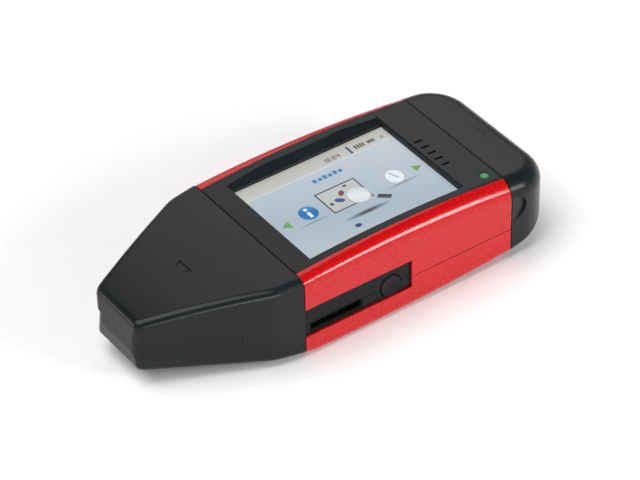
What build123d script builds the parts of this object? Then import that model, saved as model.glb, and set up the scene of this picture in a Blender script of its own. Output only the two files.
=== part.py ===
from build123d import *
import os
from math import sqrt

# Hand-held vehicle data reader with a touch screen. Millimetres.
# X runs along the reader, from the nose cap at -X to the end cap at +X.
# -Y is the side with the card slot and the power button. Z = 0 is the flat
# middle of the underside, and X = Y = 0 is the middle of the outline.

os.makedirs("parts", exist_ok=True)

# --- driving dimensions: outer form ---------------------------------------
LENGTH = 128.2
WIDTH = 52.8
TOP_Z = 27.8                  # highest line of the arched top
NOSE_X = -LENGTH / 2
END_X = LENGTH / 2
HALF_WIDTH = WIDTH / 2
PLUG_SEAM_X = -21.3           # between the nose cap and the housing
USB_SEAM_X = 48.0             # between the housing and the end cap
SEAM_GAP = 0.3
PARTING_Z = 10.6              # between the upper and lower shell

ARCH_APEX_X = 10.9
ARCH_RADIUS = 360.0           # arch of the top along X
BELLY_START_X = -2.0
BELLY_RADIUS = 620.0          # rise of the underside towards the end cap
TAIL_START_X = 47.0
TAIL_RADIUS = 26.0            # quicker rise of the underside in the end cap
TAIL_RISE = 7.6
HEEL_START_X = -14.0
HEEL_RADIUS = 30.0            # rise of the underside towards the nose cap
END_CORNER = 12.0             # plan radius at the end cap's corners
SEAM_ROUND = 2.8              # top edge radius at the nose seam
TOP_ROUND = 5.4               # top edge radius at the end cap, reached evenly
BOTTOM_ROUND = 2.4

# --- nose cap --------------------------------------------------------------
NOSE_HALF_WIDTH = 9.9         # where the taper would meet the front
SHOULDER_X = -29.9
SHOULDER_HALF_WIDTH = 25.2
SHOULDER_ROUND = 12.0
NOSE_CORNER = 4.5
NOSE_OVERRUN = 5.0            # how far the nose's form runs on past its seam
NOSE_TOP_ROUND = 2.3
NOSE_BOTTOM_ROUND = 2.0
NOSE_RIDGE_Z = 14.6           # widest line of the blunt front
NOSE_TOP_Z = 21.6
NOSE_BOTTOM_Z = 5.3
NOSE_FRONT_X = NOSE_X + 0.6   # the front leans back above and below the ridge
NOSE_ARCH = 1.0               # bow of the nose's top over its length
GRIP_TOP_Z = 15.2             # lip over the finger grip
GRIP_DEPTH = 0.6
GRIP_DRAFT = 5.0              # degrees
GRIP_END_X = -38.0

PULL_MARK_X = -43.4           # pull marks sunk in the caps' tops
END_MARK_X = 57.4
MARK_DEPTH = 0.15
SCOOP_Z = 17.2                # finger scoops in the end cap's sides
SCOOP_REACH = 5.1
SCOOP_HALF_HEIGHT = 4.1
SCOOP_DEPTH = 0.8

# --- walls and covers ------------------------------------------------------
WALL = 2.0
ROOF = 2.8                    # deck and cover together
COVER = 1.6
COVER_HALF_WIDTH = 22.4       # edge between the black covers and the red sides
COVER_GAP = 0.08
GROOVE = 0.14                 # half height of the parting groove
GROOVE_DEPTH = 0.6

# --- screen ----------------------------------------------------------------
WINDOW_X = (-14.95, 35.8)
WINDOW_HALF_Y = 20.1
WINDOW_FAR_INNER_Y = 17.2     # foot of the sloped far wall
BEVEL_FOOT_Z = 25.7
CHAMFER_RUN = 0.45            # bright edge between the window and the end cap
CHAMFER_RISE = 0.6
GLASS_TOP_Z = 24.9
GLASS = 0.7

# --- side recess -----------------------------------------------------------
RECESS_END_X = 13.9
RECESS_Z = (6.9, 16.3)
PANEL_FACE_Y = -25.7
PANEL = 2.2
PANEL_LIP = 1.0
SLOT_X = (-19.0, -2.7)
SLOT_Z = (8.0, 10.4)
BUTTON_X = 7.2
BUTTON_Z = 10.5
BUTTON_RADIUS = 3.4
BUTTON_GAP = 0.15
BUTTON_FACE_Y = -26.1
BUTTON_FLANGE_Y = (-23.4, -22.7)
STEM_END_Y = -21.2

# --- necks that the caps slide on --------------------------------------------
CAP_ROOF = 2.6
NECK_GAP = 0.3
NECK_WALL = 1.6
PLUG_NECK_X = (-24.3, -19.6)
USB_NECK_X = (46.2, 49.8)
PLUG_SEAL_X = (-23.5, -22.5)
USB_SEAL_X = (48.5, 49.3)
SEAL_GAP = 0.06
SEAL_DEPTH = 0.8
NECK_END = 1.8                # thickness of the necks' end walls
NECK = (WALL + NECK_GAP, CAP_ROOF + NECK_GAP)
NECK_INNER = (NECK[0] + NECK_WALL, NECK[1] + NECK_WALL)
SEAL_OUTER = (WALL + SEAL_GAP, CAP_ROOF + SEAL_GAP)
SEAL_INNER = (SEAL_OUTER[0] + SEAL_DEPTH, SEAL_OUTER[1] + SEAL_DEPTH)

# --- vehicle plug, 16 blades in two rows -------------------------------------
PLUG_CENTRE_Z = 13.75
PLUG_TIP_X = -36.6
PLUG_FLOOR_X = -24.4
PLUG_BACK_X = -21.4
PLUG_WIDE = 38.6
PLUG_NARROW = 32.6
PLUG_HEIGHT = 15.6
PLUG_WALL = 1.3
PLUG_BOARD_X = (-21.3, -20.1)
PIN_PITCH = 4.0
PIN_ROW = 4.2
PIN_SIZE = (1.5, 0.6)
PIN_X = (-34.4, -19.9)

# --- computer plug -------------------------------------------------------------
USB_X = (38.4, 61.2)
USB_WIDTH = 12.0
USB_HEIGHT = 4.5
USB_SHEET = 0.3
USB_CENTRE_Z = 14.9
USB_PITCH = 2.4

# --- electronics ---------------------------------------------------------------
BOARD_X = (-18.6, 45.8)
BOARD_Y = (-22.0, 23.2)
BOARD_Z = (11.0, 12.6)
MID_FRAME_Z = (19.4, 20.9)
POST_RADIUS = 2.7
SCREW_PLACES = [(-14.5, 18.5), (16.5, -19.2), (39.0, -19.6), (39.2, 19.4)]
SCREW_SHANK = 1.0
SCREW_HEAD = 1.9
SCREW_TIP_Z = 17.5
LED_PLACE = (44.3, -18.7)
PIPE_RADIUS = 1.4
CARD_SOCKET_X = (-19.5, -2.3)
FLEX_Y = (7.2, 15.2)
BATTERY = ((0.5, 36.0), (-16.0, 16.0), (5.2, 10.4))
PLATE_X = (-12.0, 8.0)
PLATE_HALF_Y = 16.0
PLATE_DEPTH = 0.5

ALL = (-100.0, 100.0)
FIT = 0.05                    # between pieces that locate each other
HOUSING_SECTIONS = 9
FLAT_CUT = 0.1                # the belly runs this far under the flat rest face


def arc_drop(x, radius):
    """Fall of a circle of this radius, x away from its highest point."""
    return radius - sqrt(radius**2 - x**2)


def top_z(x):
    return TOP_Z - arc_drop(x - ARCH_APEX_X, ARCH_RADIUS)


def belly_z(x):
    """Height of the underside: level in the middle, rising to both ends."""
    if x > BELLY_START_X:
        return arc_drop(x - BELLY_START_X, BELLY_RADIUS)
    if x < HEEL_START_X:
        return arc_drop(HEEL_START_X - x, HEEL_RADIUS)
    return 0.0


def nose_top_z(x):
    """Height of the nose cap's bowed top: the housing's at the seam."""
    share = (PLUG_SEAM_X - x) / (PLUG_SEAM_X - NOSE_FRONT_X)
    chord = top_z(PLUG_SEAM_X) * (1 - share) + NOSE_TOP_Z * share
    return chord + 4 * NOSE_ARCH * share * (1 - share)


def deck_z(x):
    """Height of the lower shell's deck, where a screw's head sits."""
    return max(COVER, belly_z(x) - FLAT_CUT + COVER)


def block(x, y, z, mode=Mode.ADD):
    """Box between three pairs of limits, in the part being built."""
    with Locations(((x[0] + x[1]) / 2, (y[0] + y[1]) / 2, (z[0] + z[1]) / 2)):
        Box(x[1] - x[0], y[1] - y[0], z[1] - z[0], mode=mode)


def post(x, y, z, radius, mode=Mode.ADD):
    """Upright cylinder between two heights."""
    with Locations((x, y, (z[0] + z[1]) / 2)):
        Cylinder(radius, z[1] - z[0], mode=mode)


def sideways(x, z, y, radius, mode=Mode.ADD):
    """Cylinder along Y between two values of y."""
    with Locations((x, (y[0] + y[1]) / 2, z)):
        Cylinder(radius, y[1] - y[0], rotation=(90, 0, 0), mode=mode)


def rim(part, sign):
    """Edges all round the upward (sign 1) or downward (sign -1) faces."""
    level = [face for face in part.faces() if sign * face.normal_at().Z > 0.55]
    edges = ShapeList(edge for face in level for edge in face.edges())
    once = [edge for edge in edges if sum(edge.is_same(other) for other in edges) == 1]
    cut = part.faces().filter_by(Axis.X).sort_by(Axis.X)
    flat_ends = [face for face in cut if abs(face.center().X - PLUG_SEAM_X) < 12]
    at_cut = [edge for face in flat_ends for edge in face.edges()]
    return [edge for edge in once if not any(edge.is_same(other) for other in at_cut)]


def main_form(side=0.0, roof=0.0):
    """Housing and end cap in one, from just inside the nose seam, made smaller
    by `side` in plan and by `roof` above, below and at the end."""
    start_x = PLUG_SEAM_X - 6
    with BuildPart() as form:
        with BuildSketch(Plane.XY):
            with BuildLine():
                Polyline(
                    (start_x, -HALF_WIDTH),
                    (END_X, -HALF_WIDTH),
                    (END_X, HALF_WIDTH),
                    (start_x, HALF_WIDTH),
                    close=True,
                )
            make_face()
            fillet(vertices().group_by(Axis.X)[-1], END_CORNER)
            if side:
                offset(amount=-side, kind=Kind.INTERSECTION)
        extrude(amount=40)
        with BuildSketch(Plane.XZ):
            with BuildLine():
                ThreePointArc(
                    (start_x - 9, top_z(start_x - 9)),
                    (ARCH_APEX_X, TOP_Z),
                    (END_X, top_z(END_X)),
                )
                tail_foot = belly_z(TAIL_START_X)
                tail = RadiusArc(
                    (TAIL_START_X, tail_foot),
                    (END_X, tail_foot + TAIL_RISE),
                    -TAIL_RADIUS,
                )
                Line(tail @ 1, (END_X, top_z(END_X)))
                ThreePointArc(
                    (BELLY_START_X, 0),
                    (30, belly_z(30)),
                    (TAIL_START_X, tail_foot),
                )
                Line((HEEL_START_X, 0), (BELLY_START_X, 0))
                ThreePointArc(
                    (HEEL_START_X, 0),
                    (-20, belly_z(-20)),
                    (start_x - 9, belly_z(start_x - 9)),
                )
                Line(
                    (start_x - 9, belly_z(start_x - 9)),
                    (start_x - 9, top_z(start_x - 9)),
                )
            make_face()
            if roof:
                offset(amount=-roof, kind=Kind.INTERSECTION)
        extrude(amount=40, both=True, mode=Mode.INTERSECT)
        fillet(rim(form.part, 1), max(TOP_ROUND - side, 0.8))
        fillet(rim(form.part, -1), max(BOTTOM_ROUND - side, 0.8))
    return form.part


def nose_plan(side=0.0):
    """Nose cap's outline from above, made smaller by `side`."""
    flare = (HALF_WIDTH - SHOULDER_HALF_WIDTH) / (PLUG_SEAM_X - SHOULDER_X)
    root_x = PLUG_SEAM_X + NOSE_OVERRUN + side
    root_half_width = HALF_WIDTH + flare * (NOSE_OVERRUN + side)
    with BuildSketch() as plan:
        with BuildLine():
            Polyline(
                (root_x, -root_half_width),
                (root_x, root_half_width),
                (SHOULDER_X, SHOULDER_HALF_WIDTH),
                (NOSE_X, NOSE_HALF_WIDTH),
                (NOSE_X, -NOSE_HALF_WIDTH),
                (SHOULDER_X, -SHOULDER_HALF_WIDTH),
                close=True,
            )
        make_face()
        fillet(vertices().group_by(Axis.X)[0], NOSE_CORNER)
        fillet(vertices().group_by(Axis.X)[-2], SHOULDER_ROUND)
        if side:
            offset(amount=-side, kind=Kind.INTERSECTION)
    return plan.sketch


def nose_form(side=0.0, roof=0.0):
    """Nose cap's outer form, from the seam to the blunt front, made smaller by
    `side` in plan and by `roof` above, below and at the front. Its inner
    surfaces, more than the edge radius inside, have plain corners."""
    with BuildPart() as form:
        with BuildSketch(Plane.XY):
            add(nose_plan(side))
        extrude(amount=40)
        with BuildSketch(Plane.XZ):
            root_x = PLUG_SEAM_X + NOSE_OVERRUN + roof
            middle_x = (root_x + NOSE_FRONT_X) / 2
            seam_z = belly_z(PLUG_SEAM_X)
            rise = (NOSE_BOTTOM_Z - seam_z) / (PLUG_SEAM_X - NOSE_FRONT_X)
            root_z = seam_z - rise * (NOSE_OVERRUN + roof)
            with BuildLine():
                ThreePointArc(
                    (root_x, nose_top_z(root_x)),
                    (middle_x, nose_top_z(middle_x)),
                    (NOSE_FRONT_X, NOSE_TOP_Z),
                )
                Polyline(
                    (NOSE_FRONT_X, NOSE_TOP_Z),
                    (NOSE_X, NOSE_RIDGE_Z),
                    (NOSE_FRONT_X, NOSE_BOTTOM_Z),
                    (root_x, root_z),
                    (root_x, nose_top_z(root_x)),
                )
            make_face()
            if roof:
                offset(amount=-roof, kind=Kind.INTERSECTION)
        extrude(amount=40, both=True, mode=Mode.INTERSECT)
        if side < NOSE_BOTTOM_ROUND:
            fillet(rim(form.part, 1), NOSE_TOP_ROUND - side)
            fillet(rim(form.part, -1), NOSE_BOTTOM_ROUND - side)
    return form.part


def housing_form(side=0.0, roof=0.0):
    """Housing between the two seams: its top edges grow rounder towards the
    end cap. Made smaller by `side` in plan and by `roof` above and below."""
    start_x = PLUG_SEAM_X + SEAM_GAP / 2
    length = USB_SEAM_X - SEAM_GAP / 2 - start_x
    with BuildPart() as form:
        for step in range(HOUSING_SECTIONS):
            share = step / (HOUSING_SECTIONS - 1)
            x = start_x + share * length
            top_round = SEAM_ROUND + share * (TOP_ROUND - SEAM_ROUND)
            low, high = belly_z(x) + roof - FLAT_CUT, top_z(x) - roof
            with BuildSketch(Plane.YZ.offset(x)):
                with Locations((0, (low + high) / 2)):
                    Rectangle(WIDTH - 2 * side, high - low)
                corners = vertices().group_by(Axis.Y)
                fillet(corners[-1], max(top_round - side, 0.8))
                fillet(vertices().group_by(Axis.Y)[0], max(BOTTOM_ROUND - side, 0.8))
        loft()
        block(ALL, ALL, (-10, roof), mode=Mode.SUBTRACT)
    return form.part


def cover_skin(half_width):
    """Outer skin of the housing that the two black covers are cut from."""
    with BuildPart() as skin:
        add(housing_form())
        add(housing_form(0, COVER), mode=Mode.SUBTRACT)
        block(ALL, (-half_width, half_width), ALL, mode=Mode.INTERSECT)
    return skin.part


def housing_shell():
    """Tube between the seams, with the covers' pockets, the side recess and
    the groove along the parting line."""
    with BuildPart() as shell:
        add(housing_form())
        add(housing_form(WALL, ROOF), mode=Mode.SUBTRACT)
        add(cover_skin(COVER_HALF_WIDTH), mode=Mode.SUBTRACT)
        block((-50, RECESS_END_X), (-30, -23), RECESS_Z, mode=Mode.SUBTRACT)
        outer_y = HALF_WIDTH - GROOVE_DEPTH
        for side_y in ((outer_y, 30), (-30, -outer_y)):
            groove_z = (PARTING_Z - GROOVE, PARTING_Z + GROOVE)
            block(ALL, side_y, groove_z, mode=Mode.SUBTRACT)
    return shell.part


def plug_outline(inset=0.0):
    """Section of the vehicle plug's shroud, wide side up, at its centre."""
    with BuildSketch() as outline:
        with BuildLine():
            Polyline(
                (-PLUG_WIDE / 2, PLUG_HEIGHT / 2),
                (-PLUG_NARROW / 2, -PLUG_HEIGHT / 2),
                (PLUG_NARROW / 2, -PLUG_HEIGHT / 2),
                (PLUG_WIDE / 2, PLUG_HEIGHT / 2),
                close=True,
            )
        make_face()
        fillet(outline.vertices(), 2.2)
        if inset:
            offset(amount=-inset)
    return outline.sketch


def pin_places():
    """Y and Z of each blade's middle."""
    rows = (PLUG_CENTRE_Z - PIN_ROW, PLUG_CENTRE_Z + PIN_ROW)
    return [((n - 3.5) * PIN_PITCH, z) for z in rows for n in range(8)]


def grip_cut():
    """Finger grip round the nose: a cut under a lip, deepest at the lip and
    running out to nothing below it."""
    lip = Plane(origin=(0, 0, GRIP_TOP_Z), x_dir=(1, 0, 0), z_dir=(0, 0, -1))
    with BuildPart() as core:
        with BuildSketch(lip):
            add(nose_plan(GRIP_DEPTH))
        extrude(amount=GRIP_TOP_Z, taper=-GRIP_DRAFT)
    with BuildPart() as cut:
        with BuildSketch(Plane.XZ):
            with BuildLine():
                Polyline(
                    (NOSE_X - 5, GRIP_TOP_Z),
                    (NOSE_X, GRIP_TOP_Z),
                    (GRIP_END_X, GRIP_TOP_Z - 1.4),
                    (GRIP_END_X, 5.5),
                    (NOSE_X - 5, 5.5),
                    close=True,
                )
            make_face()
            fillet(vertices().group_by(Axis.X)[-1], 1.5)
        extrude(amount=40, both=True)
        add(core.part, mode=Mode.SUBTRACT)
    return cut.part


def finger_scoop(side):
    """Thumb hold beside the end cap's seam, deepest at its far end."""
    with BuildPart() as scoop:
        with BuildSketch(Plane.XZ):
            with Locations((USB_SEAM_X, SCOOP_Z)):
                Ellipse(SCOOP_REACH, SCOOP_HALF_HEIGHT)
        extrude(amount=40, both=True)
        with BuildSketch(Plane.XY):
            with BuildLine():
                Polyline(
                    (USB_SEAM_X, side * HALF_WIDTH),
                    (USB_SEAM_X + SCOOP_REACH, side * (HALF_WIDTH - SCOOP_DEPTH)),
                    (USB_SEAM_X + SCOOP_REACH, side * (HALF_WIDTH + 3)),
                    (USB_SEAM_X, side * (HALF_WIDTH + 3)),
                    close=True,
                )
            make_face()
        extrude(amount=40, both=True, mode=Mode.INTERSECT)
    return scoop.part


def stroke(corners, width):
    """Flat line of this width through the corners, drawn on the XY plane."""
    with BuildSketch() as drawn:
        with BuildLine():
            Polyline(*corners)
        trace(line_width=width)
    return drawn.sketch


def seal_groove(form, x):
    """Everything outside the groove's floor, between two values of x."""
    with BuildPart() as groove:
        block(x, ALL, ALL)
        add(form(*SEAL_INNER), mode=Mode.SUBTRACT)
    return groove.part


def neck(form, x, wall_x):
    """Sleeve that a cap slides on, with its end wall between two values."""
    with BuildPart() as sleeve:
        add(form(*NECK))
        add(form(*NECK_INNER), mode=Mode.SUBTRACT)
        block(x, ALL, ALL, mode=Mode.INTERSECT)
    with BuildPart() as wall:
        add(form(*NECK))
        block(wall_x, ALL, ALL, mode=Mode.INTERSECT)
    return sleeve.part + wall.part


# --- housing shells and covers -------------------------------------------------
with BuildPart() as upper_shell:
    add(housing_shell())
    block(ALL, ALL, (-10, PARTING_Z), mode=Mode.SUBTRACT)
    block((-18.2, 39.2), (-21.6, 21.6), (18, 30), mode=Mode.SUBTRACT)
    post(*LED_PLACE, (18, 30), PIPE_RADIUS + FIT, mode=Mode.SUBTRACT)
upper_shell.part.label = "upper_shell"
export_step(upper_shell.part, "parts/upper_shell.step")

with BuildPart() as lower_shell:
    add(housing_shell())
    block(ALL, ALL, (PARTING_Z, 40), mode=Mode.SUBTRACT)
    for x, y in SCREW_PLACES:
        post(x, y, (deck_z(x) + 0.4, BOARD_Z[0]), POST_RADIUS)
        post(x, y, (-5, 20), SCREW_SHANK + FIT, mode=Mode.SUBTRACT)
        post(x, y, (-5, deck_z(x) + 0.2), SCREW_HEAD + 0.1, mode=Mode.SUBTRACT)
lower_shell.part.label = "lower_shell"
export_step(lower_shell.part, "parts/lower_shell.step")

with BuildPart() as top_cover:
    add(cover_skin(COVER_HALF_WIDTH - COVER_GAP))
    block(ALL, ALL, (-10, 15), mode=Mode.SUBTRACT)
    rim_x = (WINDOW_X[0] - 1.2, WINDOW_X[1] + 1.2)
    block(rim_x, (-21.3, 21.3), (GLASS_TOP_Z, 26.3))
    with BuildSketch(Plane.YZ.offset(WINDOW_X[0])):
        with BuildLine():
            Polyline(
                (WINDOW_HALF_Y, 27.6),
                (WINDOW_FAR_INNER_Y, BEVEL_FOOT_Z),
                (WINDOW_FAR_INNER_Y, 20),
                (-WINDOW_HALF_Y + 0.5, 20),
                (-WINDOW_HALF_Y, 27.6),
                (-WINDOW_HALF_Y, 30),
                (WINDOW_HALF_Y, 30),
                close=True,
            )
        make_face()
    extrude(amount=WINDOW_X[1] - WINDOW_X[0], mode=Mode.SUBTRACT)
    edge_x = WINDOW_X[1]
    edge_z = top_z(edge_x)
    with BuildSketch(Plane.XZ):
        with BuildLine():
            Polyline(
                (edge_x, edge_z - CHAMFER_RISE),
                (edge_x + 2 * CHAMFER_RUN, edge_z + CHAMFER_RISE),
                (edge_x, edge_z + CHAMFER_RISE),
                close=True,
            )
        make_face()
    extrude(amount=WINDOW_HALF_Y - 0.1, both=True, mode=Mode.SUBTRACT)
    post(*LED_PLACE, (18, 30), PIPE_RADIUS + FIT, mode=Mode.SUBTRACT)
    with BuildSketch(Plane.XY.offset(20)):
        with Locations((38.7, -2.4)):
            with GridLocations(0, 3.1, 1, 5):
                SlotOverall(2.8, 0.8)
    extrude(amount=10, mode=Mode.SUBTRACT)
top_cover.part.label = "top_cover"
export_step(top_cover.part, "parts/top_cover.step")

with BuildPart() as bottom_cover:
    add(cover_skin(COVER_HALF_WIDTH - COVER_GAP))
    block(ALL, ALL, (15, 40), mode=Mode.SUBTRACT)
    block(PLATE_X, (-PLATE_HALF_Y, PLATE_HALF_Y), (-1, PLATE_DEPTH), mode=Mode.SUBTRACT)
    for x, y in SCREW_PLACES:
        post(x, y, (-5, 10), SCREW_HEAD + 0.25, mode=Mode.SUBTRACT)
bottom_cover.part.label = "bottom_cover"
export_step(bottom_cover.part, "parts/bottom_cover.step")

with BuildPart() as rating_plate:
    with BuildSketch(Plane.XY.offset(0.15)):
        with Locations(((PLATE_X[0] + PLATE_X[1]) / 2, 0)):
            RectangleRounded(
                PLATE_X[1] - PLATE_X[0] - 2 * FIT,
                2 * (PLATE_HALF_Y - FIT),
                1.5,
            )
    extrude(amount=PLATE_DEPTH - 0.15)
rating_plate.part.label = "rating_plate"
export_step(rating_plate.part, "parts/rating_plate.step")

with BuildPart() as housing_screws:
    for x, y in SCREW_PLACES:
        seat_z = deck_z(x) + 0.2
        post(x, y, (seat_z - 1.3, seat_z), SCREW_HEAD)
        post(x, y, (seat_z, SCREW_TIP_Z), SCREW_SHANK)
        with BuildSketch(Plane.XY.offset(seat_z - 1.3)):
            with Locations((x, y)):
                RegularPolygon(0.9, 6)
        extrude(amount=0.7, mode=Mode.SUBTRACT)
housing_screws.part.label = "housing_screws"
export_step(housing_screws.part, "parts/housing_screws.step")

# --- side panel, slot and button -----------------------------------------------
PANEL_X = (PLUG_SEAM_X + SEAM_GAP / 2, RECESS_END_X - FIT)
PANEL_Y = (PANEL_FACE_Y, PANEL_FACE_Y + PANEL)


def side_panel():
    """Whole insert for the side recess, before it is parted in two."""
    with BuildPart() as panel:
        block(PANEL_X, PANEL_Y, (RECESS_Z[0] + FIT, RECESS_Z[1] - FIT))
        lip_z = (RECESS_Z[0] - PANEL_LIP, RECESS_Z[1] + PANEL_LIP)
        lip_y = (WALL + FIT - HALF_WIDTH, PANEL_Y[1])
        block((PANEL_X[0], RECESS_END_X + PANEL_LIP), lip_y, lip_z)
        block(SLOT_X, (-30, -20), SLOT_Z, mode=Mode.SUBTRACT)
        mouth_x = (SLOT_X[0] - 0.4, SLOT_X[1] + 0.4)
        mouth_z = (SLOT_Z[0] - 0.4, SLOT_Z[1] + 0.4)
        block(mouth_x, (-30, PANEL_FACE_Y + 0.35), mouth_z, mode=Mode.SUBTRACT)
        hole_radius = BUTTON_RADIUS + BUTTON_GAP
        sideways(BUTTON_X, BUTTON_Z, (-30, -20), hole_radius, mode=Mode.SUBTRACT)
        line_z = (PARTING_Z - GROOVE / 2, PARTING_Z + GROOVE / 2)
        block(ALL, (-30, PANEL_FACE_Y + 0.4), line_z, mode=Mode.SUBTRACT)
    return panel.part


with BuildPart() as side_panel_upper:
    add(side_panel())
    block(ALL, ALL, (0, PARTING_Z), mode=Mode.SUBTRACT)
side_panel_upper.part.label = "side_panel_upper"
export_step(side_panel_upper.part, "parts/side_panel_upper.step")

with BuildPart() as side_panel_lower:
    add(side_panel())
    block(ALL, ALL, (PARTING_Z, 30), mode=Mode.SUBTRACT)
side_panel_lower.part.label = "side_panel_lower"
export_step(side_panel_lower.part, "parts/side_panel_lower.step")

with BuildPart() as power_button:
    sideways(BUTTON_X, BUTTON_Z, (BUTTON_FACE_Y, BUTTON_FLANGE_Y[0]), BUTTON_RADIUS)
    fillet(power_button.faces().sort_by(Axis.Y)[0].edges(), 0.5)
    sideways(BUTTON_X, BUTTON_Z, BUTTON_FLANGE_Y, BUTTON_RADIUS + 0.9)
    sideways(BUTTON_X, BUTTON_Z, (BUTTON_FLANGE_Y[1], STEM_END_Y), 1.5)
    with Locations((BUTTON_X, BUTTON_FACE_Y - 19.75, BUTTON_Z)):
        Sphere(20, mode=Mode.SUBTRACT)
power_button.part.label = "power_button"
export_step(power_button.part, "parts/power_button.step")

with BuildPart() as push_switch:
    block((BUTTON_X - 3, BUTTON_X + 3), (-20.1, -16.8), (8.6, 12.4))
    sideways(BUTTON_X, BUTTON_Z, (-20.5, -20.1), 1.0)
push_switch.part.label = "push_switch"
export_step(push_switch.part, "parts/push_switch.step")

# --- caps ------------------------------------------------------------------------
with BuildPart() as plug_cap:
    add(nose_form())
    add(nose_form(WALL, CAP_ROOF), mode=Mode.SUBTRACT)
    block((PLUG_SEAM_X - SEAM_GAP / 2, 50), ALL, ALL, mode=Mode.SUBTRACT)
    add(grip_cut(), mode=Mode.SUBTRACT)
    with BuildSketch(Plane.XY.offset(nose_top_z(PULL_MARK_X) - MARK_DEPTH)):
        with Locations((PULL_MARK_X, -0.8)):
            add(stroke([(1.6, 2.5), (-2.1, 0), (1.6, -2.5), (1.6, 2.5)], 0.4))
    extrude(amount=5, mode=Mode.SUBTRACT)
plug_cap.part.label = "plug_cap"
export_step(plug_cap.part, "parts/plug_cap.step")

with BuildPart() as usb_cap:
    add(main_form())
    add(main_form(WALL, CAP_ROOF), mode=Mode.SUBTRACT)
    block((-60, USB_SEAM_X + SEAM_GAP / 2), ALL, ALL, mode=Mode.SUBTRACT)
    for side in (-1, 1):
        add(finger_scoop(side), mode=Mode.SUBTRACT)
    with BuildSketch(Plane.XY.offset(top_z(END_MARK_X) - MARK_DEPTH)):
        with Locations((END_MARK_X, -1.5)):
            add(stroke([(-0.9, 1.6), (0.9, 0), (-0.9, -1.6)], 0.4))
    extrude(amount=5, mode=Mode.SUBTRACT)
usb_cap.part.label = "usb_cap"
export_step(usb_cap.part, "parts/usb_cap.step")

# --- necks and seals ---------------------------------------------------------------
with BuildPart() as plug_neck:
    add(neck(nose_form, PLUG_NECK_X, (PLUG_NECK_X[0], PLUG_NECK_X[0] + NECK_END)))
    add(seal_groove(nose_form, PLUG_SEAL_X), mode=Mode.SUBTRACT)
    add(housing_shell(), mode=Mode.SUBTRACT)
    with BuildSketch(Plane.YZ.offset(PLUG_NECK_X[0])):
        with Locations((0, PLUG_CENTRE_Z)):
            add(plug_outline(-FIT))
    extrude(amount=NECK_END, mode=Mode.SUBTRACT)
    block((-21.2, 0), (-30, PANEL_Y[1] + 0.1), (5.8, 17.4), mode=Mode.SUBTRACT)
plug_neck.part.label = "plug_neck"
export_step(plug_neck.part, "parts/plug_neck.step")

with BuildPart() as plug_seal:
    add(nose_form(*SEAL_OUTER))
    add(nose_form(*SEAL_INNER), mode=Mode.SUBTRACT)
    block((PLUG_SEAL_X[0] + FIT, PLUG_SEAL_X[1] - FIT), ALL, ALL, mode=Mode.INTERSECT)
plug_seal.part.label = "plug_seal"
export_step(plug_seal.part, "parts/plug_seal.step")

with BuildPart() as usb_neck:
    add(neck(main_form, USB_NECK_X, (USB_NECK_X[1] - NECK_END, USB_NECK_X[1])))
    add(seal_groove(main_form, USB_SEAL_X), mode=Mode.SUBTRACT)
    hole_y = USB_WIDTH / 2 + FIT
    hole_z = (USB_CENTRE_Z - USB_HEIGHT / 2 - FIT, USB_CENTRE_Z + USB_HEIGHT / 2 + FIT)
    block((40, 60), (-hole_y, hole_y), hole_z, mode=Mode.SUBTRACT)
usb_neck.part.label = "usb_neck"
export_step(usb_neck.part, "parts/usb_neck.step")

with BuildPart() as usb_seal:
    add(main_form(*SEAL_OUTER))
    add(main_form(*SEAL_INNER), mode=Mode.SUBTRACT)
    block((USB_SEAL_X[0] + FIT, USB_SEAL_X[1] - FIT), ALL, ALL, mode=Mode.INTERSECT)
usb_seal.part.label = "usb_seal"
export_step(usb_seal.part, "parts/usb_seal.step")

# --- vehicle plug --------------------------------------------------------------------
with BuildPart() as plug_shroud:
    with BuildSketch(Plane.YZ.offset(PLUG_TIP_X)):
        with Locations((0, PLUG_CENTRE_Z)):
            add(plug_outline())
    extrude(amount=PLUG_BACK_X - PLUG_TIP_X)
    with BuildSketch(Plane.YZ.offset(PLUG_TIP_X)):
        with Locations((0, PLUG_CENTRE_Z)):
            add(plug_outline(PLUG_WALL))
    extrude(amount=PLUG_FLOOR_X - PLUG_TIP_X, mode=Mode.SUBTRACT)
    flange_z = (PLUG_CENTRE_Z - PLUG_HEIGHT / 2, PLUG_CENTRE_Z + PLUG_HEIGHT / 2)
    block((PLUG_NECK_X[0] + NECK_END + FIT, PLUG_BACK_X), (-20.7, 20.7), flange_z)
    for y, z in pin_places():
        hole_y = (y - PIN_SIZE[0] / 2 - FIT, y + PIN_SIZE[0] / 2 + FIT)
        hole_z = (z - PIN_SIZE[1] / 2 - FIT, z + PIN_SIZE[1] / 2 + FIT)
        block((PLUG_FLOOR_X - 1, 0), hole_y, hole_z, mode=Mode.SUBTRACT)
plug_shroud.part.label = "plug_shroud"
export_step(plug_shroud.part, "parts/plug_shroud.step")

with BuildPart() as plug_blades:
    for y, z in pin_places():
        with Locations(((PIN_X[0] + PIN_X[1]) / 2, y, z)):
            Box(PIN_X[1] - PIN_X[0], *PIN_SIZE)
    chamfer(plug_blades.faces().group_by(Axis.X)[0].edges().filter_by(Axis.Y), 0.2)
plug_blades.part.label = "plug_blades"
export_step(plug_blades.part, "parts/plug_blades.step")

with BuildPart() as plug_board:
    block(PLUG_BOARD_X, (-19.5, 19.5), (6.4, 21.0))
    for y, z in pin_places():
        hole_y = (y - PIN_SIZE[0] / 2 - FIT, y + PIN_SIZE[0] / 2 + FIT)
        hole_z = (z - PIN_SIZE[1] / 2 - FIT, z + PIN_SIZE[1] / 2 + FIT)
        block(PLUG_BOARD_X, hole_y, hole_z, mode=Mode.SUBTRACT)
plug_board.part.label = "plug_board"
export_step(plug_board.part, "parts/plug_board.step")

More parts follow.
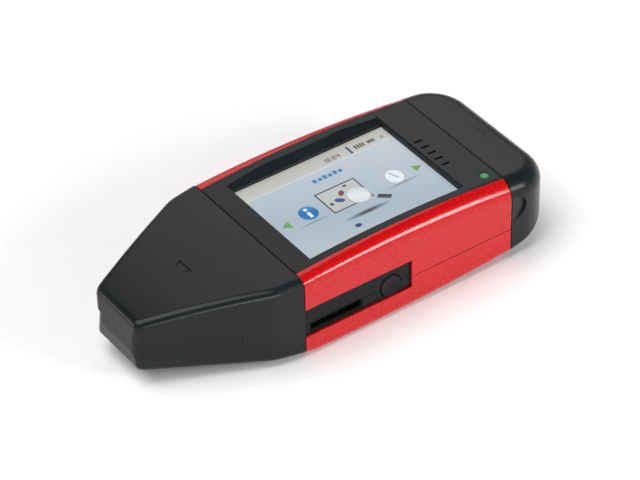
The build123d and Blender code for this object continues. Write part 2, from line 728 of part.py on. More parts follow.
# --- computer plug ---------------------------------------------------------------------
USB_Z = (USB_CENTRE_Z - USB_HEIGHT / 2, USB_CENTRE_Z + USB_HEIGHT / 2)
USB_Y = (-USB_WIDTH / 2, USB_WIDTH / 2)
USB_INNER_Y = (USB_Y[0] + USB_SHEET, USB_Y[1] - USB_SHEET)
USB_INNER_Z = (USB_Z[0] + USB_SHEET, USB_Z[1] - USB_SHEET)
TONGUE_TOP_Z = USB_INNER_Z[0] + 1.9

with BuildPart() as usb_shell:
    block(USB_X, USB_Y, USB_Z)
    fillet(usb_shell.edges().filter_by(Axis.X), 0.5)
    block(USB_X, USB_INNER_Y, USB_INNER_Z, mode=Mode.SUBTRACT)
    for y in (-2.6, 2.6):
        block((54.5, 57.0), (y - 1.0, y + 1.0), (USB_Z[1] - 0.5, 20), mode=Mode.SUBTRACT)
usb_shell.part.label = "usb_shell"
export_step(usb_shell.part, "parts/usb_shell.step")

with BuildPart() as usb_tongue:
    tongue_y = (USB_INNER_Y[0] + FIT, USB_INNER_Y[1] - FIT)
    block((USB_X[0], USB_X[1] - 0.3), tongue_y, (USB_INNER_Z[0] + FIT, TONGUE_TOP_Z))
    block((USB_X[0], 46.0), tongue_y, (TONGUE_TOP_Z, USB_INNER_Z[1] - FIT))
usb_tongue.part.label = "usb_tongue"
export_step(usb_tongue.part, "parts/usb_tongue.step")

with BuildPart() as usb_contacts:
    with Locations((53.2, 0, TONGUE_TOP_Z + 0.075)):
        with GridLocations(0, USB_PITCH, 1, 4):
            Box(14.0, 1.0, 0.15)
usb_contacts.part.label = "usb_contacts"
export_step(usb_contacts.part, "parts/usb_contacts.step")

# --- screen stack --------------------------------------------------------------------------
with BuildPart() as touch_glass:
    block((-16.6, 37.4), (-20.9, 20.9), (GLASS_TOP_Z - GLASS, GLASS_TOP_Z))
touch_glass.part.label = "touch_glass"
export_step(touch_glass.part, "parts/touch_glass.step")

with BuildPart() as display_panel:
    block((-16.8, 37.9), (-21.0, 21.0), (21.5, GLASS_TOP_Z - GLASS - FIT))
display_panel.part.label = "display_panel"
export_step(display_panel.part, "parts/display_panel.step")

with BuildPart() as display_tray:
    block((-17.2, 38.3), (-21.35, 21.35), (21.05, 23.4))
    block((-16.85, 37.95), (-21.05, 21.05), (21.45, 30), mode=Mode.SUBTRACT)
    block((37, 40), FLEX_Y, (22.0, 22.6), mode=Mode.SUBTRACT)
display_tray.part.label = "display_tray"
export_step(display_tray.part, "parts/display_tray.step")

with BuildPart() as mid_frame:
    block((-18.6, 42.6), (-23.9, 23.9), MID_FRAME_Z)
    block((40.5, 41.7), (FLEX_Y[0] - 0.5, FLEX_Y[1] + 0.5), (15, 25), mode=Mode.SUBTRACT)
    for x, y in SCREW_PLACES:
        post(x, y, (BOARD_Z[1], MID_FRAME_Z[0]), POST_RADIUS)
        post(x, y, (0, SCREW_TIP_Z + 0.2), SCREW_SHANK + FIT, mode=Mode.SUBTRACT)
mid_frame.part.label = "mid_frame"
export_step(mid_frame.part, "parts/mid_frame.step")

with BuildPart() as display_flex:
    block((37.96, 41.2), FLEX_Y, (22.2, 22.4))
    block((41.0, 41.2), FLEX_Y, (14.6, 22.4))
    block((37.0, 41.2), FLEX_Y, (14.4, 14.6))
display_flex.part.label = "display_flex"
export_step(display_flex.part, "parts/display_flex.step")

with BuildPart() as flex_connector:
    block((35.8, 39.0), (FLEX_Y[0] - 0.8, FLEX_Y[1] + 0.8), (BOARD_Z[1], 14.4))
flex_connector.part.label = "flex_connector"
export_step(flex_connector.part, "parts/flex_connector.step")

# --- board and what is on it -----------------------------------------------------------------
with BuildPart() as main_board:
    block(BOARD_X, BOARD_Y, BOARD_Z)
    fillet(main_board.edges().filter_by(Axis.Z), 1.5)
    for x, y in SCREW_PLACES:
        post(x, y, (0, 20), SCREW_SHANK + 0.1, mode=Mode.SUBTRACT)
    notch_x = (BUTTON_X - 3 - FIT, BUTTON_X + 3 + FIT)
    block(notch_x, (-30, -16.8 + FIT), (5, 15), mode=Mode.SUBTRACT)
main_board.part.label = "main_board"
export_step(main_board.part, "parts/main_board.step")

CHIPS = [
    ((8.0, 6.0), (14.0, 14.0, 1.2)),
    ((23.5, 9.0), (11.5, 8.0, 1.0)),
    ((-6.0, 9.0), (8.0, 6.0, 1.2)),
    ((-7.0, -8.0), (10.0, 7.5, 1.6)),
    ((12.0, -9.0), (5.0, 3.2, 1.1)),
]
with BuildPart() as board_chips:
    for (x, y), (size_x, size_y, size_z) in CHIPS:
        with Locations((x, y, BOARD_Z[1] + size_z / 2)):
            Box(size_x, size_y, size_z)
board_chips.part.label = "board_chips"
export_step(board_chips.part, "parts/board_chips.step")

with BuildPart() as buzzer:
    post(33.5, -4.0, (BOARD_Z[1], 15.8), 4.5)
    post(33.5, -4.0, (15.0, 16.0), 1.0, mode=Mode.SUBTRACT)
buzzer.part.label = "buzzer"
export_step(buzzer.part, "parts/buzzer.step")

with BuildPart() as backup_cell:
    post(26.0, -14.0, (BOARD_Z[1], 14.8), 6.2)
    fillet(backup_cell.faces().sort_by(Axis.Z)[-1].edges(), 0.5)
backup_cell.part.label = "backup_cell"
export_step(backup_cell.part, "parts/backup_cell.step")

with BuildPart() as status_led:
    x, y = LED_PLACE
    block((x - 1.0, x + 1.0), (y - 0.8, y + 0.8), (BOARD_Z[1], 13.4))
    post(x, y, (13.4, 13.7), 0.6)
status_led.part.label = "status_led"
export_step(status_led.part, "parts/status_led.step")

with BuildPart() as light_pipe:
    x, y = LED_PLACE
    post(x, y, (14.2, top_z(x) - 0.1), PIPE_RADIUS)
    fillet(light_pipe.faces().sort_by(Axis.Z)[-1].edges(), 0.4)
    post(x, y, (21.6, 22.2), 1.8)
light_pipe.part.label = "light_pipe"
export_step(light_pipe.part, "parts/light_pipe.step")

with BuildPart() as card_socket:
    block(CARD_SOCKET_X, (PANEL_Y[1] + 0.1, -4.0), (7.4, BOARD_Z[0]))
    block(SLOT_X, (-30, -5.5), SLOT_Z, mode=Mode.SUBTRACT)
card_socket.part.label = "card_socket"
export_step(card_socket.part, "parts/card_socket.step")

with BuildPart() as card_contacts:
    with Locations(((SLOT_X[0] + SLOT_X[1]) / 2, -8.5, SLOT_Z[0] + 0.1)):
        with GridLocations(1.9, 0, 8, 1):
            Box(0.8, 5.0, 0.2)
card_contacts.part.label = "card_contacts"
export_step(card_contacts.part, "parts/card_contacts.step")

# --- battery -----------------------------------------------------------------------------------
with BuildPart() as battery:
    block(*BATTERY)
    fillet(battery.edges().filter_by(Axis.Y), 1.5)
battery.part.label = "battery"
export_step(battery.part, "parts/battery.step")

with BuildPart() as battery_pad:
    add(housing_form(WALL + FIT, ROOF + FIT))
    block((2.0, 34.5), (-14.0, 14.0), (0, BATTERY[2][0]), mode=Mode.INTERSECT)
battery_pad.part.label = "battery_pad"
export_step(battery_pad.part, "parts/battery_pad.step")

with BuildPart() as battery_connector:
    block((38.8, 43.2), (-6.0, 2.0), (7.6, BOARD_Z[0]))
battery_connector.part.label = "battery_connector"
export_step(battery_connector.part, "parts/battery_connector.step")

with BuildPart() as battery_leads:
    with Locations(((BATTERY[0][1] + 38.8) / 2, -2.0, 9.0)):
        with GridLocations(0, 2.0, 1, 2):
            Cylinder(0.6, 38.8 - BATTERY[0][1], rotation=(0, 90, 0))
battery_leads.part.label = "battery_leads"
export_step(battery_leads.part, "parts/battery_leads.step")
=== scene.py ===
from math import cos, pi, radians, sin

import bpy
from mathutils import Matrix, Vector


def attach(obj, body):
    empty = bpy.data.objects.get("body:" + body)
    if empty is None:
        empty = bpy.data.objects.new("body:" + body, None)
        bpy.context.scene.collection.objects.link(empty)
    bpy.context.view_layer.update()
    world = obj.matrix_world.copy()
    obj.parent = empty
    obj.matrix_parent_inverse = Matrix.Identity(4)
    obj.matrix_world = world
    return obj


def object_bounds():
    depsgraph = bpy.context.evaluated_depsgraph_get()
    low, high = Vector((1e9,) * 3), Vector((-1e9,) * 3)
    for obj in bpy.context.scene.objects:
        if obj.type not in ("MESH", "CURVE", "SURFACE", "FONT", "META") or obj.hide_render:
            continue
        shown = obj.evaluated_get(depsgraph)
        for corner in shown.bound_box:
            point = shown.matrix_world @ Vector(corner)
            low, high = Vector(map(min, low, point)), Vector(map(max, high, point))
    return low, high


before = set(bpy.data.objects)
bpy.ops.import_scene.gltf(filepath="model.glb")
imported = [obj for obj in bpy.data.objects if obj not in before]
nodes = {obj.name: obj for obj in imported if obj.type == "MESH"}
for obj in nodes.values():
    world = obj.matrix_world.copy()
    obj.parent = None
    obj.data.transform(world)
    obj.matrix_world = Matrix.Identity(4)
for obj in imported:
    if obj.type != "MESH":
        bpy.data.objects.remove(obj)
cad_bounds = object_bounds()
MM = 0.001


# --- shader helpers ------------------------------------------------------------------
class Shader:
    """One material's node tree, with short calls for what the materials share."""

    def __init__(self, name):
        self.material = bpy.data.materials.new(name)
        self.material.use_nodes = True
        self.tree = self.material.node_tree
        self.tree.nodes.clear()
        self.out = self.add("OutputMaterial")
        self.coords = self.add("TexCoord").outputs["Object"]

    def add(self, kind, **settings):
        node = self.tree.nodes.new("ShaderNode" + kind)
        for key, value in settings.items():
            setattr(node, key, value)
        return node

    def link(self, source, target):
        self.tree.links.new(source, target)

    def noise(self, scale, detail=3.0):
        node = self.add("TexNoise")
        node.inputs["Scale"].default_value = scale
        node.inputs["Detail"].default_value = detail
        self.link(self.coords, node.inputs["Vector"])
        return node.outputs["Fac"]

    def cells(self, scale):
        node = self.add("TexVoronoi")
        node.inputs["Scale"].default_value = scale
        self.link(self.coords, node.inputs["Vector"])
        return node

    def ramp(self, factor, stops):
        node = self.add("ValToRGB")
        elements = node.color_ramp.elements
        while len(elements) < len(stops):
            elements.new(0.5)
        for element, (place, colour) in zip(elements, stops):
            element.position = place
            element.color = (*colour, 1.0)
        self.link(factor, node.inputs["Fac"])
        return node.outputs["Color"]

    def span(self, factor, low, high, from_low=0.3, from_high=0.7):
        node = self.add("MapRange")
        node.inputs["From Min"].default_value = from_low
        node.inputs["From Max"].default_value = from_high
        node.inputs["To Min"].default_value = low
        node.inputs["To Max"].default_value = high
        self.link(factor, node.inputs["Value"])
        return node.outputs["Result"]

    def bump(self, height, distance, strength=1.0, normal=None):
        node = self.add("Bump")
        node.inputs["Distance"].default_value = distance
        node.inputs["Strength"].default_value = strength
        self.link(height, node.inputs["Height"])
        if normal:
            self.link(normal, node.inputs["Normal"])
        return node.outputs["Normal"]

    def round_edges(self, radius):
        node = self.add("Bevel", samples=6)
        node.inputs["Radius"].default_value = radius
        return node.outputs["Normal"]

    def principled(self, **values):
        node = self.add("BsdfPrincipled")
        for key, value in values.items():
            node.inputs[key.replace("_", " ")].default_value = value
        self.link(node.outputs["BSDF"], self.out.inputs["Surface"])
        return node


# Noise and cell scales, per metre.
CLOUD = 60.0
FLAKES = 3000.0
SMUDGES = 25.0


def shade(colour, factor):
    return tuple(min(channel * factor, 1.0) for channel in colour)


def moulded(name, colour, rough, grain=2500.0, depth=0.00002, spread=0.12, edge=0.0,
            specular=0.5, **values):
    """Moulded plastic, rubber or a printed surface with a fine even grain."""
    s = Shader(name)
    surface = s.principled(**{"Specular IOR Level": specular}, **values)
    cloud = s.noise(CLOUD)
    tone = s.ramp(cloud, [(0.3, shade(colour, 1 - spread)), (0.7, shade(colour, 1 + spread))])
    s.link(tone, surface.inputs["Base Color"])
    s.link(s.span(cloud, rough * 0.92, rough * 1.08), surface.inputs["Roughness"])
    normal = s.round_edges(edge) if edge else None
    s.link(s.bump(s.noise(grain), depth, 0.5, normal), surface.inputs["Normal"])
    return s.material


def metal(name, colour, rough, grain=(400.0, 6000.0, 6000.0)):
    """Plated or brushed metal, its grain drawn out along X."""
    s = Shader(name)
    surface = s.principled(Metallic=1.0)
    stretch = s.add("Mapping")
    stretch.inputs["Scale"].default_value = grain
    s.link(s.coords, stretch.inputs["Vector"])
    lines = s.add("TexNoise")
    lines.inputs["Scale"].default_value = 1.0
    s.link(stretch.outputs["Vector"], lines.inputs["Vector"])
    fine = lines.outputs["Fac"]
    s.link(s.ramp(fine, [(0.3, shade(colour, 0.85)), (0.7, colour)]), surface.inputs["Base Color"])
    s.link(s.span(fine, rough * 0.8, rough * 1.25), surface.inputs["Roughness"])
    s.link(s.bump(fine, 0.00001, 0.4), surface.inputs["Normal"])
    return s.material


def red_gloss():
    """Glossy red with fine metal flakes under a clear coat."""
    s = Shader("red_gloss")
    surface = s.principled(**{"Coat Weight": 0.55, "Coat Roughness": 0.12,
                              "Specular IOR Level": 0.14})
    flakes = s.cells(FLAKES)
    sparkle = s.add("SeparateColor")
    s.link(flakes.outputs["Color"], sparkle.inputs["Color"])
    pick = sparkle.outputs["Red"]
    tone = s.ramp(pick, [(0.0, (0.40, 0.0008, 0.0015)), (0.85, (0.48, 0.0015, 0.003)),
                         (1.0, (0.60, 0.008, 0.013))])
    s.link(tone, surface.inputs["Base Color"])
    s.link(s.span(pick, 0.22, 0.30, 0.0, 1.0), surface.inputs["Roughness"])
    edges = s.round_edges(0.00016)
    s.link(s.bump(pick, 0.00002, 0.25, edges), surface.inputs["Normal"])
    s.link(edges, surface.inputs["Coat Normal"])
    return s.material


def clear_glass():
    """Cover glass: what lies under it shows, with a faint smudged reflection."""
    s = Shader("clear_glass")
    clear = s.add("BsdfTransparent")
    clear.inputs["Color"].default_value = (0.96, 0.98, 0.99, 1.0)
    shine = s.add("BsdfGlossy")
    s.link(s.span(s.noise(SMUDGES), 0.05, 0.12), shine.inputs["Roughness"])
    fresnel = s.add("Fresnel")
    fresnel.inputs["IOR"].default_value = 1.4
    outside = s.span(s.add("NewGeometry").outputs["Backfacing"], 1.0, 0.0, 0.0, 1.0)
    share = s.add("Math", operation="MULTIPLY")
    s.link(fresnel.outputs["Fac"], share.inputs[0])
    s.link(outside, share.inputs[1])
    mix = s.add("MixShader")
    s.link(share.outputs["Value"], mix.inputs["Fac"])
    s.link(clear.outputs["BSDF"], mix.inputs[1])
    s.link(shine.outputs["BSDF"], mix.inputs[2])
    s.link(mix.outputs["Shader"], s.out.inputs["Surface"])
    return s.material


def lit(name, stops, along=(0, 1), low=-20.0, high=20.0, strength=1.0, soft=None):
    """Part of the lit picture. Its colour runs through the stops from `low` to
    `high` in mm along a direction; `soft` fades it out towards its edge."""
    s = Shader(name)
    glow = s.add("Emission")
    glow.inputs["Strength"].default_value = strength
    across = s.add("VectorMath", operation="DOT_PRODUCT")
    s.link(s.coords, across.inputs[0])
    across.inputs[1].default_value = (along[0], along[1], 0)
    place = s.span(across.outputs["Value"], 0.0, 1.0, low * MM, high * MM)
    grain = s.add("Math", operation="MULTIPLY_ADD")
    s.link(s.noise(3000.0), grain.inputs[0])
    grain.inputs[1].default_value = 0.04
    s.link(place, grain.inputs[2])
    s.link(s.ramp(grain.outputs["Value"], stops), glow.inputs["Color"])
    if not soft:
        s.link(glow.outputs["Emission"], s.out.inputs["Surface"])
        return s.material
    unit = s.add("TexCoord").outputs["UV"]
    ball = s.add("TexGradient", gradient_type="SPHERICAL")
    s.link(unit, ball.inputs["Vector"])
    clear = s.add("BsdfTransparent")
    mix = s.add("MixShader")
    s.link(s.span(ball.outputs["Fac"], 0.0, soft, 0.0, 0.8), mix.inputs["Fac"])
    s.link(clear.outputs["BSDF"], mix.inputs[1])
    s.link(glow.outputs["Emission"], mix.inputs[2])
    s.link(mix.outputs["Shader"], s.out.inputs["Surface"])
    return s.material


def lamp(name, colour, strength):
    """Translucent lamp plastic, lit from inside."""
    s = Shader(name)
    surface = s.principled(Roughness=0.25)
    tone = s.ramp(s.noise(500.0), [(0.3, shade(colour, 0.7)), (0.7, colour)])
    s.link(tone, surface.inputs["Base Color"])
    s.link(tone, surface.inputs["Emission Color"])
    surface.inputs["Emission Strength"].default_value = strength
    return s.material


# --- the CAD nodes' materials -----------------------------------------------------------
BLACK = (0.0085, 0.0105, 0.0115)
black_cover = moulded("black_cover", BLACK, 0.30, edge=0.00025, IOR=1.3)
black_cap = moulded("black_cap", BLACK, 0.26, edge=0.0003, IOR=1.3)
black_panel = moulded("black_panel", (0.004, 0.005, 0.0055), 0.3, edge=0.00015, IOR=1.25)
insulator = moulded("insulator", (0.02, 0.02, 0.022), 0.5)
white_insulator = moulded("white_insulator", (0.8, 0.8, 0.77), 0.45)
seal_rubber = moulded("seal_rubber", (0.03, 0.03, 0.032), 0.8)
grey_frame = moulded("grey_frame", (0.12, 0.12, 0.125), 0.55)
display_off = moulded("display_off", (0.02, 0.022, 0.03), 0.3)
label_paper = moulded("label_paper", (0.62, 0.63, 0.65), 0.4)
flex_film = moulded("flex_film", (0.6, 0.28, 0.03), 0.35)
chip_black = moulded("chip_black", (0.02, 0.02, 0.021), 0.5)
board_green = moulded("board_green", (0.01, 0.16, 0.06), 0.3, grain=900.0)
steel = metal("steel", (0.62, 0.63, 0.65), 0.28)
gold = metal("gold", (0.9, 0.62, 0.22), 0.22)
foil = metal("foil", (0.6, 0.62, 0.64), 0.35, grain=(900.0, 900.0, 900.0))
green_lamp = lamp("green_lamp", (0.02, 0.22, 0.05), 0.18)

finishes = {
    red_gloss(): ["upper_shell", "lower_shell"],
    black_cover: ["top_cover", "bottom_cover"],
    black_cap: ["plug_cap", "usb_cap"],
    black_panel: ["side_panel_upper", "side_panel_lower", "power_button"],
    insulator: ["plug_neck", "usb_neck", "plug_shroud", "push_switch", "flex_connector",
                "battery_leads"],
    white_insulator: ["usb_tongue", "battery_connector"],
    seal_rubber: ["plug_seal", "usb_seal", "battery_pad"],
    grey_frame: ["mid_frame"],
    display_off: ["display_panel"],
    label_paper: ["rating_plate"],
    flex_film: ["display_flex"],
    chip_black: ["board_chips", "buzzer"],
    board_green: ["main_board", "plug_board"],
    steel: ["housing_screws", "usb_shell", "card_socket", "backup_cell", "display_tray"],
    gold: ["plug_blades", "usb_contacts", "card_contacts"],
    foil: ["battery"],
    clear_glass(): ["touch_glass"],
    green_lamp: ["status_led", "light_pipe"],
}
for finish, names in finishes.items():
    for name in names:
        nodes[name].data.materials.clear()
        nodes[name].data.materials.append(finish)


# --- the lit picture under the glass ------------------------------------------------------
PICTURE_Z = 24.16    # the lowest layer, in mm, between the display panel and the glass
LAYER = 0.005        # step up to the next layer


def flat_piece(name, corners, layer, material, faces=None):
    """Flat piece of the picture: corners in mm on the given layer."""
    mesh = bpy.data.meshes.new(name)
    z = (PICTURE_Z + LAYER * layer) * MM
    middle = [sum(axis) / len(corners) for axis in zip(*corners)]
    reach = [max(abs(c[i] - middle[i]) for c in corners) or 1.0 for i in (0, 1)]
    points = [(x * MM, y * MM, z) for x, y in corners]
    mesh.from_pydata(points, [], faces or [tuple(range(len(points)))])
    unit = mesh.uv_layers.new(name="unit")
    for loop in mesh.loops:
        corner = corners[loop.vertex_index]
        unit.data[loop.index].uv = [(corner[i] - middle[i]) / reach[i] for i in (0, 1)]
    mesh.materials.append(material)
    piece = bpy.data.objects.new(name, mesh)
    bpy.context.scene.collection.objects.link(piece)
    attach(piece, "reader")
    return piece


def box_2d(x, y):
    return [(x[0], y[0]), (x[1], y[0]), (x[1], y[1]), (x[0], y[1])]


def round_2d(centre, radii, turn=0.0, count=48):
    angles = [2 * pi * n / count for n in range(count)]
    c, s = cos(turn), sin(turn)
    ellipse = [(radii[0] * cos(a), radii[1] * sin(a)) for a in angles]
    return [(centre[0] + c * x - s * y, centre[1] + s * x + c * y) for x, y in ellipse]


def band(name, outer, inner, layer, material):
    """Closed band between two outlines with the same number of corners."""
    count = len(outer)
    faces = [
        (n, (n + 1) % count, count + (n + 1) % count, count + n) for n in range(count)
    ]
    return flat_piece(name, outer + inner, layer, material, faces)


def bars(name, boxes, layer, material):
    """Several small boxes as one piece."""
    corners, faces = [], []
    for x, y in boxes:
        first = len(corners)
        corners += box_2d(x, y)
        faces.append((first, first + 1, first + 2, first + 3))
    return flat_piece(name, corners, layer, material, faces)


# Lit segments of each digit: t, m and b lie across at the top, middle and bottom, a and c
# stand at the upper left and right, d and e at the lower left and right.
SEGMENTS = {"0": "tbacde", "1": "ce", "2": "tmbcd", "4": "mace"}
DIGIT_WIDE, DIGIT_HIGH, STROKE = 0.95, 1.7, 0.28
CLOCK_DIGITS = "1024"


def digit_boxes(digit, x, y):
    """Boxes of one clock digit, with its lower left corner at x, y."""
    across = (x, x + DIGIT_WIDE)
    left = (x, x + STROKE)
    right = (x + DIGIT_WIDE - STROKE, x + DIGIT_WIDE)
    middle = y + DIGIT_HIGH / 2
    upper = (middle, y + DIGIT_HIGH)
    lower = (y, middle)
    places = {
        "t": (across, (y + DIGIT_HIGH - STROKE, y + DIGIT_HIGH)),
        "m": (across, (middle - STROKE / 2, middle + STROKE / 2)),
        "b": (across, (y, y + STROKE)),
        "a": (left, upper),
        "c": (right, upper),
        "d": (left, lower),
        "e": (right, lower),
    }
    return [places[key] for key in SEGMENTS[digit]]


PALER = (0.60, 0.64, 0.69)
picture = lit("picture", [(0.0, (0.50, 0.55, 0.60)), (0.45, (0.43, 0.50, 0.57)),
                          (1.0, (0.56, 0.61, 0.66))], (0.35, 0.94), -22, 20)
flat_piece("ui_background", box_2d((-16.4, 37.2), (-20.4, 20.4)), 0, picture)
bar_tone = lit("bar_tone", [(0.0, (0.62, 0.60, 0.56)), (1.0, (0.50, 0.48, 0.44))],
               (0, 1), 12, 18)
flat_piece("ui_status_bar", box_2d((-16.3, 37.1), (12.6, 20.3)), 1, bar_tone)
rule_tone = lit("rule_tone", [(0.0, PALER), (1.0, (0.75, 0.77, 0.80))])
flat_piece("ui_status_rule", box_2d((-16.3, 37.1), (12.3, 12.6)), 2, rule_tone)
ink = lit("ink", [(0.0, (0.03, 0.03, 0.035)), (1.0, (0.06, 0.06, 0.065))])
CLOCK_X, CLOCK_Y = 14.0, 13.7
DIGIT_STEP = 1.35
COLON_GAP = 0.5
COLON_X = (16.75, 17.0)
clock = []
for index, digit in enumerate(CLOCK_DIGITS):
    left = CLOCK_X + DIGIT_STEP * index + (COLON_GAP if index > 1 else 0)
    clock += digit_boxes(digit, left, CLOCK_Y)
clock += [(COLON_X, (14.1, 14.35)), (COLON_X, (14.8, 15.05))]
bars("ui_clock", clock, 3, ink)
navy = lit("navy", [(0.0, (0.01, 0.03, 0.16)), (1.0, (0.02, 0.05, 0.22))])
flat_piece("ui_signal_bar", box_2d((22.7, 23.4), (13.0, 16.4)), 3, navy)
olive = lit("olive", [(0.0, (0.03, 0.05, 0.02)), (1.0, (0.09, 0.13, 0.05))], (1, 0), 24, 29)
strength = [((24.9 + 0.85 * n, 25.5 + 0.85 * n), (13.9, 15.6)) for n in range(4)]
bars("ui_strength", strength, 3, olive)
dark_tone = lit("dark_tone", [(0.0, (0.05, 0.055, 0.05)), (1.0, (0.14, 0.15, 0.12))],
                (1, 0), 28, 32)
flat_piece("ui_battery", box_2d((29.1, 31.5), (14.0, 15.2)), 3, dark_tone)
fawn = lit("fawn", [(0.0, (0.26, 0.27, 0.18)), (1.0, (0.36, 0.36, 0.28))])
flat_piece("ui_link", round_2d((34.0, 14.4), (0.8, 0.6)), 3, fawn)

sky = lit("sky", [(0.0, (0.02, 0.16, 0.36)), (1.0, (0.05, 0.26, 0.50))])
title = [((6.6 + 1.7 * n, 7.8 + 1.7 * n), (8.2, 9.5 if n % 2 else 9.8)) for n in range(6)]
bars("ui_title", title, 3, sky)

shadow = [(0.0, (0.015, 0.017, 0.02)), (1.0, (0.03, 0.033, 0.037))]
shadow_tone = lit("shadow_tone", shadow, soft=0.95)
faint_tone = lit("faint_tone", [(0.0, (0.16, 0.17, 0.19)), (1.0, (0.22, 0.23, 0.25))], soft=0.7)
flat_piece("ui_lens_shadow", round_2d((11.4, -10.1), (8.4, 1.1)), 3, shadow_tone)
flat_piece("ui_info_shadow", round_2d((-3.1, -5.3), (5.6, 0.55)), 3, faint_tone)
flat_piece("ui_gauge_shadow", round_2d((26.5, -5.8), (6.6, 0.6)), 3, faint_tone)

sheet_tone = lit("sheet_tone", [(0.0, (0.50, 0.52, 0.50)), (1.0, (0.60, 0.61, 0.58))])
flat_piece("ui_sheet", box_2d((3.6, 16.4), (-5.6, 3.9)), 3, sheet_tone)
line_tone = lit("line_tone", [(0.0, (0.02, 0.02, 0.022)), (1.0, (0.09, 0.09, 0.095))],
                (1, -1), -5, 20)
sheet_outer = box_2d((3.4, 16.6), (-5.8, 4.1))
sheet_inner = box_2d((3.85, 16.15), (-5.35, 3.65))
band("ui_sheet_edge", sheet_outer, sheet_inner, 4, line_tone)
rust = lit("rust", [(0.0, (0.14, 0.03, 0.02)), (1.0, (0.24, 0.08, 0.05))])
denim = lit("denim", [(0.0, (0.02, 0.06, 0.22)), (1.0, (0.04, 0.10, 0.30))])
flat_piece("ui_mark_rust", round_2d((10.0, 0.5), (1.2, 0.8), 0.9), 4, rust)
flat_piece("ui_mark_denim", round_2d((7.9, -1.8), (1.5, 0.9), -0.6), 4, denim)
flat_piece("ui_mark_ink", round_2d((5.2, -2.0), (0.5, 0.6)), 4, ink)
flat_piece("ui_mark_high", round_2d((12.6, 2.6), (0.7, 0.4)), 4, ink)
ring_tone = lit("ring_tone", [(0.0, (0.30, 0.33, 0.37)), (1.0, (0.60, 0.63, 0.67))],
                (0.7, 0.7), -3, 12)
lens_tone = lit("lens_tone", [(0.0, (0.52, 0.60, 0.70)), (0.6, (0.86, 0.86, 0.84)),
                              (1.0, (0.70, 0.72, 0.72))], (0.4, 0.9), -3, 6)
LENS = (13.3, -3.0)
flat_piece("ui_lens", round_2d(LENS, (3.0, 3.4)), 6, lens_tone)
band("ui_lens_ring", round_2d(LENS, (3.5, 3.9)), round_2d(LENS, (2.95, 3.35)), 7, ring_tone)
grip_tone = lit("grip_tone", [(0.0, (0.16, 0.16, 0.17)), (0.5, (0.012, 0.012, 0.014)),
                              (1.0, (0.05, 0.05, 0.055))], (0.61, 0.79), 4.4, 7.4)
flat_piece("ui_grip", [(16.5, -7.0), (17.9, -5.9), (20.9, -8.3), (19.5, -9.4)], 7, grip_tone)

blue = lit("blue", [(0.0, (0.0, 0.20, 0.55)), (0.5, (0.0, 0.13, 0.38)), (1.0, (0.03, 0.36, 0.72))],
           (0.3, 0.95), -4.5, 1.6)
INFO = (-2.15, -1.25)
flat_piece("ui_info", round_2d(INFO, (2.75, 3.0)), 4, blue)
white = lit("white", [(0.0, (0.78, 0.82, 0.86)), (1.0, (0.95, 0.96, 0.98))])
bars("ui_info_mark", [((-2.65, -1.65), (-3.3, -0.9)), ((-2.65, -1.65), (-0.2, 0.8))], 5, white)
GAUGE = (26.1, -2.2)
flat_piece("ui_gauge", round_2d(GAUGE, (2.5, 2.9)), 4, white)
soft_ring = lit("soft_ring", [(0.0, (0.40, 0.42, 0.45)), (1.0, (0.62, 0.64, 0.67))])
band("ui_gauge_ring", round_2d(GAUGE, (2.85, 3.3)), round_2d(GAUGE, (2.5, 2.9)), 4, soft_ring)
GHOST = (24.9, -0.1)
band("ui_gauge_ghost", round_2d(GHOST, (2.9, 3.3)), round_2d(GHOST, (2.55, 2.95)), 3, soft_ring)
needle_tone = lit("needle_tone", [(0.0, (0.30, 0.27, 0.27)), (1.0, (0.42, 0.38, 0.38))])
needle = [(25.4, -0.1), (25.75, 0.1), (26.95, -3.2), (26.6, -3.4)]
flat_piece("ui_gauge_needle", needle, 5, needle_tone)
leaf = lit("leaf", [(0.0, (0.12, 0.32, 0.05)), (1.0, (0.20, 0.42, 0.10))])
flat_piece("ui_arrow_right", [(32.3, -1.3), (35.1, -2.6), (32.3, -4.1)], 4, leaf)
flat_piece("ui_arrow_left", [(-8.9, -0.8), (-11.6, -2.4), (-8.9, -4.0)], 4, leaf)
flat_piece("ui_dot_first", round_2d((5.6, -13.55), (1.0, 0.8)), 4, navy)
FADED_DOT_X, DOT_STEP = 8.8, 3.05
for index in range(4):
    dot = round_2d((FADED_DOT_X + DOT_STEP * index, -13.45), (0.55, 0.45))
    flat_piece(f"ui_dot_{index + 2}", dot, 4, soft_ring)

# --- room, lights and camera ----------------------------------------------------------------
FLOOR_REACH = 6.0
FLOOR_DROP = 0.00002    # keeps the floor just clear of the underside
floor_mesh = bpy.data.meshes.new("floor")
reach = FLOOR_REACH
corners = [(-reach, -reach, 0), (reach, -reach, 0), (reach, reach, 0), (-reach, reach, 0)]
floor_mesh.from_pydata(corners, [], [(0, 1, 2, 3)])
floor = bpy.data.objects.new("floor", floor_mesh)
floor.location.z = cad_bounds[0][2] - FLOOR_DROP
bpy.context.scene.collection.objects.link(floor)
floor_mesh.materials.append(moulded("floor_paper", (0.93, 0.93, 0.93), 0.9, grain=400.0,
                                    depth=0.0002, spread=0.01, specular=0.1))


def softbox(name, azimuth, elevation, distance, size, power):
    """Area lamp aimed at the reader's foot. Azimuth 0 is over the -Y side, 90 over +X."""
    lamp_data = bpy.data.lights.new(name, "AREA")
    lamp_data.shape = "RECTANGLE"
    lamp_data.size, lamp_data.size_y = size
    lamp_data.energy = power
    lamp_object = bpy.data.objects.new(name, lamp_data)
    a, e = radians(azimuth), radians(elevation)
    place = Vector((sin(a) * cos(e), -cos(a) * cos(e), sin(e))) * distance
    lamp_object.location = place
    lamp_object.rotation_euler = (-place).to_track_quat("-Z", "Y").to_euler()
    bpy.context.scene.collection.objects.link(lamp_object)


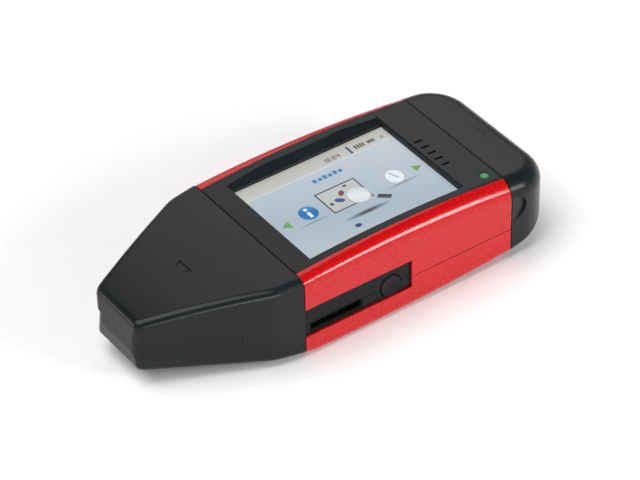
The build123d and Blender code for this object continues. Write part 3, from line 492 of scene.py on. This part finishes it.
softbox("overhead", -100, 68, 1.2, (1.0, 1.0), 13.5)
softbox("far_high", 147, 40, 1.2, (0.8, 0.7), 2.1)
softbox("front_right", 32, 23, 1.1, (0.38, 0.32), 6.5)
softbox("front_low", -12, 6, 1.1, (0.6, 0.16), 4.5)
softbox("far_left", -128, 5, 1.1, (0.40, 0.10), 1.0)

world = bpy.data.worlds.new("studio")
bpy.context.scene.world = world
world.use_nodes = True
world_tree = world.node_tree
sky_coords = world_tree.nodes.new("ShaderNodeTexCoord")
sky_split = world_tree.nodes.new("ShaderNodeSeparateXYZ")
sky_ramp = world_tree.nodes.new("ShaderNodeValToRGB")
horizon, zenith = sky_ramp.color_ramp.elements
horizon.position = 0.0
horizon.color = (0.45, 0.45, 0.46, 1)
zenith.position = 0.9
zenith.color = (0.07, 0.07, 0.08, 1)
background = world_tree.nodes["Background"]
world_tree.links.new(sky_coords.outputs["Generated"], sky_split.inputs["Vector"])
world_tree.links.new(sky_split.outputs["Z"], sky_ramp.inputs["Fac"])
world_tree.links.new(sky_ramp.outputs["Color"], background.inputs["Color"])
background.inputs["Strength"].default_value = 0.9

# The view: where the camera stands, and how far it is turned about its own axis.
VIEW_AZIMUTH, VIEW_ELEVATION, VIEW_ROLL = radians(-34.80), radians(39.08), radians(-1.298)
VIEW_PLACE = (-0.37514, -0.54310, 0.54894)
camera_data = bpy.data.cameras.new("camera")
camera_data.lens = 175.45
camera_data.sensor_width = 36.0
camera_data.clip_start = 0.01
camera = bpy.data.objects.new("camera", camera_data)
back = Vector((
    sin(VIEW_AZIMUTH) * cos(VIEW_ELEVATION),
    -cos(VIEW_AZIMUTH) * cos(VIEW_ELEVATION),
    sin(VIEW_ELEVATION),
))
right = Vector((cos(VIEW_AZIMUTH), sin(VIEW_AZIMUTH), 0))
up = back.cross(right)
turned_right = cos(VIEW_ROLL) * right + sin(VIEW_ROLL) * up
turned_up = cos(VIEW_ROLL) * up - sin(VIEW_ROLL) * right
axes = Matrix((turned_right, turned_up, back)).transposed()
camera.matrix_world = Matrix.Translation(VIEW_PLACE) @ axes.to_4x4()
bpy.context.scene.collection.objects.link(camera)
bpy.context.scene.camera = camera
bpy.context.scene.view_settings.view_transform = "Standard"
